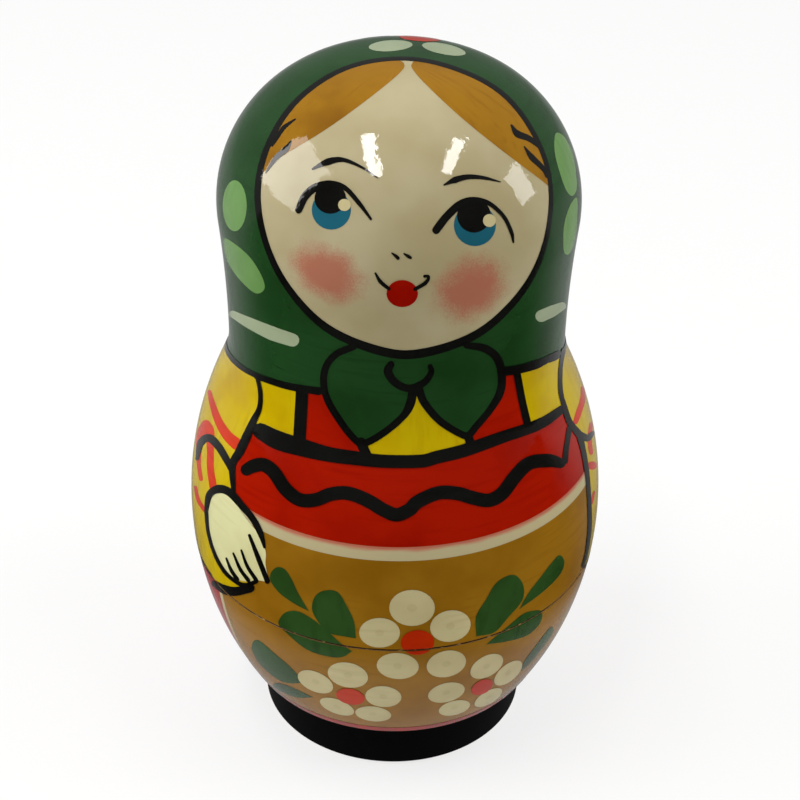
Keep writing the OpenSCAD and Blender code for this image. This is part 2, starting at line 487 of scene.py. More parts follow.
def slab(sheet, size, stand, layer):
    """A thin closed solid of paint on a doll: points, triangles, normals and places on the largest doll."""
    normals = outward(sheet.points)
    base = sheet.points * size + np.array([0, 0, stand])
    n = len(sheet.points)
    t = sheet.triangles
    edges = np.vstack([t[:, [0, 1]], t[:, [1, 2]], t[:, [2, 0]]])
    a, b = edges[~np.isin(edges[:, 0] * n + edges[:, 1], edges[:, 1] * n + edges[:, 0])].T
    inward = np.zeros_like(base)
    side = np.cross(normals[a], base[b] - base[a])
    np.add.at(inward, a, side)
    np.add.at(inward, b, side)
    inward /= np.maximum(np.linalg.norm(inward, axis=1), TINY)[:, None]
    lift = BASE_LIFT + LAYER_LIFT * layer
    points = np.vstack([base + normals * lift, base + normals * (lift - PAINT_DEPTH) + inward * UNDERCUT])
    walls = [np.column_stack([b, a, a + n]), np.column_stack([b, a + n, b + n])]
    faces = np.vstack([t, t[:, ::-1] + n] + walls)
    return points, faces, np.vstack([normals] * 2), np.vstack([sheet.points] * 2)


def piece(name, body, slabs):
    """One object from slabs of paint, each with its material."""
    solids = [solid for solid, material in slabs]
    points, faces, normals, places = zip(*solids)
    starts = np.cumsum([0] + [len(p) for p in points])
    materials = list(dict.fromkeys(material for solid, material in slabs))
    kinds = [materials.index(material) for solid, material in slabs]
    mesh = bpy.data.meshes.new(name)
    mesh.from_pydata(np.vstack(points) * MM, [], np.vstack([f + at for f, at in zip(faces, starts)]))
    for material in materials:
        mesh.materials.append(material)
    mesh.polygons.foreach_set("material_index", np.repeat(kinds, [len(f) for f in faces]))
    mesh.shade_smooth()
    place = mesh.attributes.new("place", "FLOAT_VECTOR", "POINT")
    place.data.foreach_set("vector", np.vstack(places).ravel())
    mesh.normals_split_custom_set_from_vertices(np.vstack(normals).tolist())
    obj = bpy.data.objects.new(name, mesh)
    bpy.context.scene.collection.objects.link(obj)
    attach(obj, body)


def turned(points, size, stand):
    """A thin turned ring of paint over a bent line of radius and height, as one closed solid."""
    line = np.array(points, float)
    run = np.gradient(line, axis=0)
    run /= np.linalg.norm(run, axis=1)[:, None]
    off = np.column_stack([run[:, 1], -run[:, 0]])
    inner = line * size + off * (BASE_LIFT - PAINT_DEPTH)
    section = np.vstack([line * size + off * BASE_LIFT, inner[::-1]])
    count = len(section)
    turns = np.radians(np.arange(0, 360, TURN_STEP))
    found, normals, places, faces = [], [], [], []
    side = np.vstack([off, off[::-1]])
    flat = np.vstack([line, line[::-1]])
    for j, turn in enumerate(turns):
        s, c = math.sin(turn), -math.cos(turn)
        found += [(r * s, r * c, z + stand) for r, z in section]
        normals += [(a * s, a * c, b) for a, b in side]
        places += [(r * s, r * c, z) for r, z in flat]
        here, there = j * count, (j + 1) % len(turns) * count
        for i in range(count):
            k = (i + 1) % count
            faces += [(here + i, there + i, there + k), (here + i, there + k, here + k)]
    return np.array(found), np.array(faces), np.array(normals), np.array(places)


# Materials: settings of shaders, and the noise that spreads patches, streaks, blush and wear
LACQUER = {"Roughness": 0.45, "Specular IOR Level": 0, "Coat Weight": 1.0, "Coat Roughness": 0.045}
DULL = {"Roughness": 0.6, "Specular IOR Level": 0.06}
CHIPPED = {"Roughness": 0.8}
WOOD = {"Roughness": 0.7}
PALE_FLOOR = {"Roughness": 0.8, "Specular IOR Level": 0}
RIPPLES = {"Strength": 1.0, "Distance": 0.06 * MM}
GROOVES = {"Scale": 500.0, "Distortion": 1.5}
GROOVE_RELIEF = {"Strength": 0.1, "Distance": 0.0001}
NOISE_DETAIL = 3.0
NOISE_MIDDLE = 0.5
EVEN = (1, 1, 1)
RIPPLE_SCALE = 0.35
PATCH_SCALE = 0.06
PATCH_RANGE = (0.4, 0.75)
STREAK_RANGE = (0.45, 0.75)
STREAK_SHARE = 0.6
ROUND_STREAKS = (0.05, 0.8, 1)
UPRIGHT_STREAKS = (0.6, 0.08, 1)
LEAF_STREAKS = (0.5, 0.1, 1)
LOOSE_STREAKS = (0.3, 0.3, 1)
TRIM_STREAKS = (0.15, 0.6, 1)
FACE_PATCH_SCALE = 0.05
FACE_PATCH_RANGE = (0.35, 0.75)
GRAIN_SCALE = 3.0
GRAIN_DETAIL = 4.0
DRIFT_SCALE = 0.3
DRIFT_DETAIL = 2.0
BLUSH_GRAIN = 0.6
BLUSH_DRIFT = 0.5
BLUSH_RANGE = (1.18, 0.42)
BLUSH_SHARE = 0.83
PINK_DRIFT = 0.9
PINK_LOW = 1.3
PINK_HIGH = 0.2
PINK_SHARE = 0.8
WEAR_SCALE = 0.5
WEAR_DETAIL = 6.0
WEAR_RANGE = (0.55, 0.8)
CHIP_SCALE = 650.0
CHIP_RANGE = (0.55, 0.7)
FIBRE_STRETCH = (900, 900, 40)
BAND_STRETCH = (60, 60, 12)
FIBRE_SHARE = 0.5
WOOD_RANGE = (0.35, 0.7)

# Sockets of the node that mixes colours
MIX_SHARE, MIX_FIRST, MIX_SECOND = 0, 6, 7
MIX_RESULT = 2


def linear(colour):
    """Linear colour from red, green and blue as the screen shows them, 0 to 255."""
    shares = [c / 255 for c in colour]
    return [c / 12.92 if c <= 0.04045 else ((c + 0.055) / 1.055) ** 2.4 for c in shares] + [1]


def connect(made, inputs):
    """Links inputs of a node to sockets, or sets them to values."""
    for key, value in inputs.items():
        if isinstance(value, bpy.types.NodeSocket):
            made.id_data.links.new(value, made.inputs[key])
        else:
            made.inputs[key].default_value = value


def node(tree, kind, inputs=None, **settings):
    """A new node with its settings and inputs."""
    made = tree.nodes.new(kind)
    for key, value in settings.items():
        setattr(made, key, value)
    connect(made, inputs or {})
    return made


def math_node(operation, first, second):
    """The result of an operation on a socket and on a number or a second socket."""
    return node(first.id_data, "ShaderNodeMath", {0: first, 1: second}, operation=operation).outputs[0]


def times(first, second):
    """The product of a socket and a number or socket."""
    return math_node("MULTIPLY", first, second)


def plus(first, second):
    """The sum of a socket and a number or socket."""
    return math_node("ADD", first, second)


def mixed(share, first, second):
    """Mix of two colours, each a list or a socket."""
    inputs = {MIX_SHARE: share, MIX_FIRST: first, MIX_SECOND: second}
    return node(share.id_data, "ShaderNodeMix", inputs, data_type="RGBA").outputs[MIX_RESULT]


def ramped(value, low, high):
    """A share that rises from 0 to 1 as a value goes from low to high."""
    inputs = {"Value": value, "From Min": low, "From Max": high}
    return node(value.id_data, "ShaderNodeMapRange", inputs, interpolation_type="SMOOTHSTEP").outputs[0]


def graded(share, low, high):
    """A level that goes from low to high as a share goes from 0 to 1."""
    return plus(times(share, high - low), low)


def parts_of(vector):
    """The three parts of a vector."""
    return node(vector.id_data, "ShaderNodeSeparateXYZ", {0: vector}).outputs


def length_of(vector):
    """The length of a vector."""
    return node(vector.id_data, "ShaderNodeVectorMath", {0: vector}, operation="LENGTH").outputs["Value"]


def noise(vector, scale=1.0, stretch=EVEN, detail=NOISE_DETAIL):
    """Cloudy noise over a vector, finer where it is stretched more."""
    tree = vector.id_data
    mapping = node(tree, "ShaderNodeMapping", {"Vector": vector, "Scale": stretch})
    inputs = {"Vector": mapping.outputs[0], "Scale": scale, "Detail": detail}
    return node(tree, "ShaderNodeTexNoise", inputs).outputs[0]


def swing(value, reach):
    """Noise that goes both ways from zero."""
    return times(plus(value, -NOISE_MIDDLE), reach)


def bumped(height, relief):
    """A normal that follows a height."""
    return node(height.id_data, "ShaderNodeBump", {**relief, "Height": height}).outputs[0]


def new_material(name, recipe, *colours, **settings):
    """A new material that a recipe makes out of colours."""
    material = bpy.data.materials.new(name)
    material.use_nodes = True
    shader = material.node_tree.nodes["Principled BSDF"]
    recipe(shader, *[linear(colour) for colour in colours], **settings)
    return material


def painted_place(shader):
    """The place on the largest doll in millimetres."""
    return node(shader.id_data, "ShaderNodeAttribute", attribute_name="place").outputs["Vector"]


def object_place(shader):
    """The place in the object in metres."""
    return node(shader.id_data, "ShaderNodeTexCoord").outputs["Object"]


def unrolled(place):
    """A place unrolled round the axis."""
    x, y, z = parts_of(place)
    turn = math_node("ARCTAN2", x, times(y, -1))
    flat = {0: times(turn, BODY_R), 1: z}
    return node(place.id_data, "ShaderNodeCombineXYZ", flat).outputs[0]


def lacquer(shader, colour, place):
    """A gloss clear coat with slow ripples over painted colour."""
    ripples = bumped(noise(place, RIPPLE_SCALE), RIPPLES)
    connect(shader, {**LACQUER, "Base Color": colour, "Coat Normal": ripples})


def paint(shader, colour, deep, streaks=ROUND_STREAKS):
    """Brushed paint: a colour with a deeper one in broad patches and in streaks of the brush."""
    place = painted_place(shader)
    broad = ramped(noise(place, PATCH_SCALE), *PATCH_RANGE)
    lines = ramped(noise(unrolled(place), stretch=streaks), *STREAK_RANGE)
    tone = math_node("MAXIMUM", broad, times(lines, STREAK_SHARE))
    lacquer(shader, mixed(tone, colour, deep), place)


def cheeks(place, colour, blush):
    """Lays soft speckled blush over a colour, a slanting oval on each cheek."""
    grain = swing(noise(place, GRAIN_SCALE, detail=GRAIN_DETAIL), BLUSH_GRAIN)
    drift = swing(noise(place, DRIFT_SCALE, detail=DRIFT_DETAIL), BLUSH_DRIFT)
    uneven = plus(drift, grain)
    for cheek in CHEEKS:
        spot = node(place.id_data, "ShaderNodeMapping", {
            "Vector": place, "Location": from_photo(np.array([cheek.pixel], float))[0],
            "Rotation": (0, math.radians(cheek.tilt), 0), "Scale": (cheek.wide, HEIGHT, cheek.high),
        }, vector_type="TEXTURE")
        far = plus(length_of(spot.outputs[0]), uneven)
        colour = mixed(times(ramped(far, *BLUSH_RANGE), BLUSH_SHARE), colour, blush)
    return colour


def face_paint(shader, colour, deep, blush):
    """Smooth paint with a deeper colour in broad patches, and blush on the cheeks."""
    place = painted_place(shader)
    broad = ramped(noise(place, FACE_PATCH_SCALE), *FACE_PATCH_RANGE)
    lacquer(shader, cheeks(place, mixed(broad, colour, deep), blush), place)


def trim_paint(shader, colour, pink, level):
    """The pale border, pink where its wet upper edge took up the red."""
    place = painted_place(shader)
    drift = swing(noise(unrolled(place), stretch=TRIM_STREAKS), PINK_DRIFT)
    high = plus(parts_of(place)[2], drift)
    share = times(ramped(high, level - PINK_LOW, level - PINK_HIGH), PINK_SHARE)
    lacquer(shader, mixed(share, colour, pink), place)


def dull_paint(shader, colour, worn):
    """Thin paint without lacquer, worn in small spots."""
    spots = ramped(noise(painted_place(shader), WEAR_SCALE, detail=WEAR_DETAIL), *WEAR_RANGE)
    connect(shader, {**DULL, "Base Color": mixed(spots, colour, worn)})


def shaded_chipped_seam(shader, dark, chipped):
    """The break at the seam: dark with painted shade of its groove, and small chips of paler wood."""
    chips = ramped(noise(object_place(shader), CHIP_SCALE), *CHIP_RANGE)
    connect(shader, {**CHIPPED, "Base Color": mixed(chips, dark, chipped)})


def bare_wood(shader, pale, grain):
    """Turned linden: fine rings left by the tool, and long soft grain."""
    place = object_place(shader)
    fibres = times(noise(place, stretch=FIBRE_STRETCH), FIBRE_SHARE)
    bands = times(noise(place, stretch=BAND_STRETCH), 1 - FIBRE_SHARE)
    tone = ramped(plus(fibres, bands), *WOOD_RANGE)
    grooves = node(shader.id_data, "ShaderNodeTexWave", {**GROOVES, "Vector": place}, bands_direction="Z")
    relief = bumped(grooves.outputs["Fac"], GROOVE_RELIEF)
    connect(shader, {**WOOD, "Base Color": mixed(tone, pale, grain), "Normal": relief})


# Painted outlines in pixels of the photograph
FACE_RING = [
    (400, 59), (345, 69), (298, 100), (269, 144), (258, 192), (266, 242), (288, 287), (326, 327),
    (378, 350), (421, 353), (478, 333), (522, 291), (545, 242), (550, 185), (534, 135), (501, 93), (452, 68),
]
FACE_RING_WIDTHS = [4, 4.5, 5.5, 6, 6.5, 6, 6.5, 8, 9, 9, 8, 6.5, 5, 4.5, 5, 5, 4.5]
LEFT_HAIR = leaf([
    (261, 175), (280, 158), (324, 131), (366, 101), (399, 74), (404, 64), (394, 60), (372, 61), (345, 69),
    (319, 83), (298, 100), (281, 122), (269, 144),
])
RIGHT_HAIR = leaf([
    (548, 186), (534, 175), (497, 147), (459, 116), (427, 86), (413, 70), (412, 64), (420, 60), (452, 68),
    (478, 79), (501, 93), (519, 112), (534, 135), (545, 160),
])
HAIR_STREAKS = [
    stroke([(295.5, 119.5), (284, 128), (276.5, 139), (272.5, 146)], [1.5, 4.5, 4, 2]),
    stroke([(291.5, 141), (286.5, 149), (276.5, 158), (266, 173)], [1.5, 6, 5, 1]),
    stroke([(511, 125.5), (517, 134), (529, 139), (540, 148)], [2, 7, 6, 3]),
    stroke([(524, 147), (531.5, 157.5), (543, 169), (546, 177)], [1.5, 6, 5, 2]),
]
BROWS = [
    stroke([(313, 169), (328, 162), (343, 160), (361, 167), (378, 178)], [2, 7, 4.5, 2.5, 1]),
    stroke([(444, 185), (455, 180), (468, 177), (484, 178), (500, 182)], [1.5, 6.5, 5, 3.5, 1]),
]
LASHES = [
    stroke([(299, 210), (305, 197), (315, 188), (330, 184), (345, 188), (359, 203), (371, 219)],
        [7, 8, 8, 7, 5, 4.5, 2.5]),
    stroke([(436, 230), (446, 217), (459, 205), (472, 200), (488, 203), (503, 216), (511, 232), (513, 242)],
        [8, 8, 8, 6, 4.5, 4, 4, 2]),
]
IRISES = [oval(331.5, 210, 19.6, 19.6), oval(474.7, 225, 21, 21)]
PUPILS = [oval(330.5, 198.5, 15.8, 15.2), oval(473.7, 215.5, 16.8, 17)]
GLINTS = [oval(344.7, 205, 6.3, 6), oval(489, 220.5, 6.4, 6.4)]
NOSTRILS = [
    stroke([(392, 253), (396, 256), (398, 258)], [1.5, 3.5, 3.5]),
    stroke([(404, 253.5), (408, 256), (410.5, 257.5)], [1.5, 3.5, 3]),
]
LIPS = [oval(402.2, 293.3, 15.7, 13.5)]
SMILE = [
    stroke([(375.5, 273), (380.5, 281.5), (389, 288.5)], [2, 4, 3.5]),
    stroke([(424.5, 276), (428.5, 276.5), (425.5, 282.5), (415, 289)], [3, 3, 4, 3.5]),
]
Cheek = namedtuple("Cheek", "pixel wide high tilt")
CHEEKS = [Cheek((327, 275), 7.4, 6.2, 16), Cheek((470, 290), 7.5, 7.5, -10)]
SCARF_LEAVES = [
    oval(235, 205.7, 12, 25.5),
    blob([(224, 239), (234, 243), (250, 257), (261, 274), (265, 287), (260, 293), (252, 291), (237, 276),
        (227, 259)]),
    blob([(556, 133), (564, 137), (572, 152), (576, 175), (576, 190), (571, 196), (564, 186), (556, 160),
        (554, 144)]),
    blob([(577, 199), (570, 205), (564, 224), (563, 245), (565, 254), (571, 251), (576, 232)]),
]
SCARF_DASHES = [
    stroke([(233, 314), (250, 323), (272, 333), (293, 340)], [7, 11, 14, 13]),
    stroke([(541, 316), (552, 311), (562, 306)], [12, 11.5, 8]),
]
LEFT_LOOP = [
    (336, 354), (326, 367), (324, 384), (329, 402), (344, 426), (357, 441), (365, 443), (383, 433),
    (402, 417), (410, 404),
]
RIGHT_LOOP = [
    (496, 357), (501, 372), (500, 391), (490, 409), (476, 426), (468, 435), (459, 433), (439, 420),
    (424, 402),
]
BOW = blob([(352, 346)] + LEFT_LOOP + [(415, 393)] + RIGHT_LOOP[::-1] + [(485, 348), (468, 346), (410, 352)])
BOW_LINES = [
    stroke([(354, 346)] + LEFT_LOOP + [(413, 389)], [7] * 10 + [9, 9]),
    stroke([(466, 345), (484, 348)] + RIGHT_LOOP + [(419, 389)], [6, 8, 8.5, 8.5, 8, 7, 7, 7, 7, 7.5, 8, 8]),
    stroke([(391, 364), (388, 371), (395, 382), (409, 388), (424, 382), (431, 372), (430, 366)],
        [7, 9, 8, 7.5, 7, 6, 5]),
    stroke([(361, 442), (367, 456)], 10),
    stroke([(468, 436), (472, 450)], 9),
]
YELLOW_CHEST = [
    panel([(415, 388), (398, 424), (380, 438), (362, 446), (364, 458), (420, 461), (470, 453), (472, 440),
        (440, 424)]),
    panel([(256, 377), (302, 386), (299, 445), (254, 429), (261, 405), (261, 392)]),
    panel([(516, 371), (540, 362), (563, 351), (560, 370), (560, 391), (566, 410), (527, 430)]),
]
RED_CHEST = [
    panel([(302, 386), (326, 388), (330, 404), (356, 444), (362, 457), (300, 447)]),
    panel([(502, 376), (517, 371), (527, 428), (470, 449), (474, 437), (492, 415), (501, 393)]),
]
CHEST_BARS = [
    stroke([(302.5, 391), (299.5, 443)], 12.5),
    stroke([(516.5, 373), (521.5, 400), (528, 428)], 7.5),
]
SARAFAN_BAND = stroke(
    [(261, 431), (278, 440), (301, 447), (328, 454), (356, 458), (384, 461), (420, 461), (437, 457),
     (465, 450), (502, 437), (539, 424), (562, 409)], [16, 19, 18, 15, 14, 13, 13, 13, 13, 12, 11, 8])
SARAFAN_WAVE = stroke(
    [(247, 469.5), (255, 465.5), (265, 465), (275, 473), (286, 489), (300, 499.5), (316, 499.5), (331, 494),
     (348, 493), (367, 500), (384, 510), (397, 514.5), (410, 509), (417, 502), (437, 493), (456, 493),
     (474, 498), (489, 500), (502, 493), (515, 476), (529, 463), (548, 460.5), (560, 463)],
     [12] + [13.5] * 21 + [10])
WAVE_END = stroke([(564.5, 461), (566, 447), (569, 428)], [6, 5, 5])
SCARF_FRONT = [
    stroke([(257, 376.5), (287, 385.5), (319, 391)], [5, 7, 7.5]),
    stroke([(505, 371), (518, 369), (537, 364), (558, 353)], [9, 9, 8, 5]),
]
LEFT_SLEEVE_LINES = [
    stroke([(258, 377), (261, 393), (260, 408), (254, 421), (247, 437), (240, 452), (233, 465), (234, 491)],
        [4, 4.5, 5, 7, 9, 9, 7, 4]),
    stroke([(198, 459), (201.5, 443), (209.5, 438), (218.5, 445.5), (227.5, 460), (233, 471)],
        [3.5, 7, 8, 7.5, 7, 6]),
]
HAND_LINES = [
    stroke([(207, 511), (210, 495), (219, 489), (230, 492), (242, 505), (253, 518), (261, 533), (265, 547)],
        [4, 7, 8.5, 8, 7, 6.5, 6, 2.5]),
    stroke([(207, 511), (209, 532), (215.5, 554), (225, 571), (236, 581), (246, 585), (257, 581)],
        [4, 3.5, 3.5, 4, 4, 5, 4]),
    stroke([(250, 535), (259, 558), (268, 581)], [3, 5, 5]),
    stroke([(242, 550), (248, 566), (257, 580)], [2, 3.5, 4]),
    stroke([(234, 553), (241, 569), (249, 580)], [2, 3.5, 4]),
    stroke([(227, 558), (232, 570), (238, 579)], [2, 3.5, 4]),
]
CUFF_LINE = stroke([(215, 583), (225, 589), (236, 591), (251, 588)], [6, 9, 9, 8])
HAND = blob([
    (209, 515), (212, 499), (219, 492), (230, 495), (247, 519), (260, 535), (266, 551), (266, 564),
    (268, 580), (258, 580), (246, 581), (232, 576), (220, 559), (212, 538),
])
SLEEVE_STROKES = [
    stroke([(210, 392), (213, 404), (219, 421), (227.5, 435), (237, 444)], [4, 6, 8, 10, 12]),
    stroke([(206.5, 425), (202, 433), (199.5, 447), (199.5, 465), (201.5, 479)], [10, 9, 6, 4, 4]),
    stroke([(206.5, 425), (210.5, 432), (211, 450), (211, 468), (214, 488)], [10, 9, 7, 7, 7.5]),
    stroke([(196, 487), (199, 500), (205, 510)], [3, 4, 4]),
    stroke([(582, 388), (582, 400), (578, 413), (575, 422)], [3.5, 5.5, 6, 5]),
    stroke([(590.5, 424), (589, 438), (590.5, 453)], [3.5, 4.5, 4]),
    oval(591.5, 465.5, 4.8, 4.2),
    stroke([(593.5, 492), (591, 503)], 2.5),
]
RIGHT_SLEEVE_LINES = [
    stroke([(563, 350), (560, 367), (560, 391), (564, 407), (569, 422), (579, 435)], [4, 4, 4.5, 5, 6, 7]),
    stroke([(579, 436), (583, 452), (586.5, 474), (588.5, 500), (589, 527), (586, 552), (582, 566)],
        [6, 5, 4.5, 4.2, 4, 3.2, 2.5]),
    stroke([(578, 434), (586.5, 438), (592, 433)], [7, 7, 4]),
]
APRON_LEAVES = [
    leaf([(309, 611), (294, 603), (280, 593), (271, 581), (271, 573), (277, 567), (285, 569), (292, 579),
        (298, 592)]),
    leaf([(356, 638), (344, 636), (328, 632), (316, 618), (312, 607), (316, 595), (326, 590), (338, 592),
        (346, 604), (354, 621)]),
    leaf([(352, 651), (344, 656), (334, 657), (316, 653), (302, 646), (286, 632), (280, 626), (279, 620),
        (286, 612), (298, 611), (313, 619), (328, 631), (341, 643)]),
    leaf([(304, 682), (291, 683), (278, 679), (262, 666), (254, 654), (252, 646), (255, 640), (262, 642),
        (277, 655), (291, 667)]),
    leaf([(313, 697), (297, 697), (279, 690), (273, 685), (280, 683), (297, 689)]),
    leaf([(476, 636), (476, 616), (486, 599), (494, 585), (504, 577), (515, 575), (523, 585), (522, 600),
        (508, 617), (494, 632)]),
    leaf([(519, 609), (528, 593), (541, 576), (551, 563), (559, 555), (564, 562), (559, 575), (542, 592)]),
    leaf([(486, 644), (510, 624), (524, 613), (538, 610), (542, 614), (539, 624), (527, 635), (507, 641)]),
    leaf([(521, 671), (524, 661), (538, 642), (550, 627), (552, 633), (535, 657)]),
]
PETALS = [
    (412, 607.5, 22.8, 18, 0), (379.6, 632.3, 20.4, 14.8, 0), (450.2, 625.6, 20.4, 15.6, -12),
    (397.7, 665.5, 21, 13, 4), (446.2, 663.4, 20, 13, -14),
    (348, 674.5, 20.4, 12.2, 12), (315.7, 681.2, 18.8, 9.6, 24), (383.4, 696, 18, 10.4, 4),
    (337.2, 706, 18, 7, 20), (373.3, 713.3, 18, 7.4, 6),
    (486.4, 665.8, 18, 10, -30), (507.8, 672.5, 17, 8, -40), (446.2, 692, 18.7, 9.4, -14),
    (454.2, 707.3, 16, 7, -14), (488, 697, 15.5, 6.2, -30),
]
FLOWER_HEARTS = [
    oval(417.4, 642, 16.7, 12.3, -4), oval(350.6, 696, 14.5, 7.8, 12), oval(481.7, 686.6, 11.6, 6.6, -28),
]
DIMPLE_SHARE = 0.22

# The flower behind the crown, in millimetres to the right and to the back of the axis
CROWN_HEART = oval(3.7, 15.6, 4.2, 3.8)
CROWN_PETALS = [
    (-2.1, 8.3, 4.5, 3.6, 25), (8.5, 8.2, 4.5, 3.6, -25), (-6.3, 22, 4.4, 3.3, -35),
    (13.7, 22, 4.4, 3.3, 35), (3.7, 26.5, 4.2, 3.3, 0),
]

# Painted edges that go round the doll, as angles in degrees to the right of the front and heights
SCARF_EDGE = [
    (-180, 66), (-150, 73), (-120, 85), (-100, 91), (-81, 95.4), (-57, 99.4), (-41, 101.8), (-24, 104),
    (7, 106.5), (37, 106.5), (52, 104.4), (71, 99.7), (95, 95), (118, 90), (150, 77), (180, 66),
]
SCARF_LINE = 1.4
WHOLE_TURN = (-180, 180)
BOW_LEFT, BOW_RIGHT = -20, 30
APRON_LEFT, APRON_RIGHT = -58, 76
APRON_TOP_LOW, APRON_TOP_HIGH = 70.4, 73.5
RIM_RISE = 2.2
APRON_HEM = 2
LEFT_BACK = [(-62, 47.4), (-74, 47.4), (-88, 52), (-99, 64), (-104, 78)]
RIGHT_BACK = [(70, 47), (78, 45.5), (92, 46), (106, 52), (117, 64), (122, 78)]
LEFT_SLEEVE = [
    (-50, 97.5), (-49.5, 93.6), (-50.5, 88), (-53, 80), (-51, 75), (-45, 66), (-43, 58), (-43, 54),
    (-48, 51.2), (-54, 48.6), *LEFT_BACK, (-103, 90.2), (-81, 95.4), (-57, 99.4),
]
RIGHT_SLEEVE = [
    (75, 98.5), (71, 96), (67.6, 92), (66, 88), (69.5, 81), (69, 72), (68.4, 66), (67.5, 54),
    *RIGHT_BACK, (121, 89.3), (95, 95),
]
SLEEVE_BACKS = [LEFT_BACK + [(-103, 90)], RIGHT_BACK + [(121, 89)]]
BACK_DASHES = [
    [(-146, 91), (-130, 97), (-113, 103)], [(112, 105), (129, 99), (145, 92)],
    [(-172, 84), (-160, 87), (-152, 89)], [(153, 90), (161, 87), (173, 84)],
]
BACK_DASH_WIDTH = 2.6
BACK_LEAF_LONG, BACK_LEAF_SHORT = 9, 3.4
BACK_LEAVES = [
    (-108, 128, 60), (-118, 114, 120), (110, 128, 120), (121, 114, 60), (-152, 118, 125), (153, 118, 55),
    (-160, 102, 60), (161, 102, 120),
]


def scarf_edge(angles):
    """Height of the scarf's lower edge at each angle."""
    curve = smooth(SCARF_EDGE)
    return np.interp(angles, curve[:, 0], curve[:, 1])


def back_leaf(angle, height, tilt):
    """A leaf at the back of the scarf, in angles and heights."""
    return oval(0, 0, BACK_LEAF_LONG, BACK_LEAF_SHORT, tilt) / SQUEEZE + np.array([angle, height])


def wrapped_stroke(points, width):
    """A brush stroke in angles and heights, its width in millimetres."""
    return stroke(np.array(points) * SQUEEZE, width) / SQUEEZE


def scarf_line():
    """The black line along the scarf's edge, from the right of the bow round the back to its left."""
    right_part = [(a, z) for a, z in SCARF_EDGE if a > BOW_RIGHT]
    left_part = [(a + 360, z) for a, z in SCARF_EDGE if WHOLE_TURN[0] < a < BOW_LEFT]
    return wrapped_stroke(right_part + left_part, SCARF_LINE)


def petal_ovals(rows):
    """Ovals from rows of centre, half sizes and tilt."""
    return [oval(*row) for row in rows]


def dimples(rows):
    """The faint dab in the middle of each petal."""
    return [oval(x, y, a * DIMPLE_SHARE, b * DIMPLE_SHARE, tilt) for x, y, a, b, tilt in rows]


# Colours as the photograph shows them
SCARF = new_material("scarf_green", paint, (32, 68, 32), (23, 56, 21))
SKIRT = new_material("skirt_red", paint, (166, 24, 3), (145, 15, 1))
APRON = new_material("apron_ochre", paint, (150, 105, 22), (134, 90, 12))
YELLOW = new_material("sleeve_yellow", paint, (201, 174, 6), (184, 151, 3), streaks=UPRIGHT_STREAKS)
BLACK = new_material("line_black", paint, (20, 20, 18), (10, 9, 8))
CREAM = new_material("petal_cream", paint, (200, 188, 142), (186, 172, 126))
SKIN = new_material("hand_cream", paint, (218, 216, 164), (206, 202, 148))
DAB = new_material("petal_dab", paint, (194, 181, 135), (179, 165, 119))
HAIR = new_material("hair_ochre", paint, (154, 108, 14), (128, 84, 8), streaks=LOOSE_STREAKS)
LEAF = new_material("apron_leaf", paint, (46, 78, 34), (34, 62, 22), streaks=LEAF_STREAKS)
SPRIG = new_material("scarf_leaf", paint, (106, 146, 82), (92, 132, 66), streaks=LEAF_STREAKS)
DASH = new_material("scarf_dash", paint, (157, 168, 137), (145, 157, 126))
BLUE = new_material("iris_blue", paint, (32, 96, 114), (25, 84, 99))
LIP = new_material("lip_red", paint, (154, 16, 2), (138, 9, 1))
RED = new_material("heart_red", paint, (190, 50, 8), (172, 34, 5))
SCARLET = new_material("sleeve_stroke", paint, (204, 54, 18), (184, 38, 10))
TRIM = new_material("trim_cream", trim_paint, (186, 174, 134), (186, 78, 64), level=APRON_TOP_HIGH)
FOOT = new_material("foot_black", dull_paint, (3, 3, 3), (10, 9, 8))
FACE = new_material("face_cream", face_paint, (181, 170, 135), (168, 155, 116), (172, 94, 74))
LINDEN = new_material("bare_linden", bare_wood, (206, 172, 124), (180, 140, 90))
# The seam's dark colour is painted shade in its groove; the pale one is chips of bare wood.
SEAM = new_material("seam_shade_and_chips", shaded_chipped_seam, (74, 48, 18), (192, 148, 80))

Coat = namedtuple("Coat", "name material layer sheet")


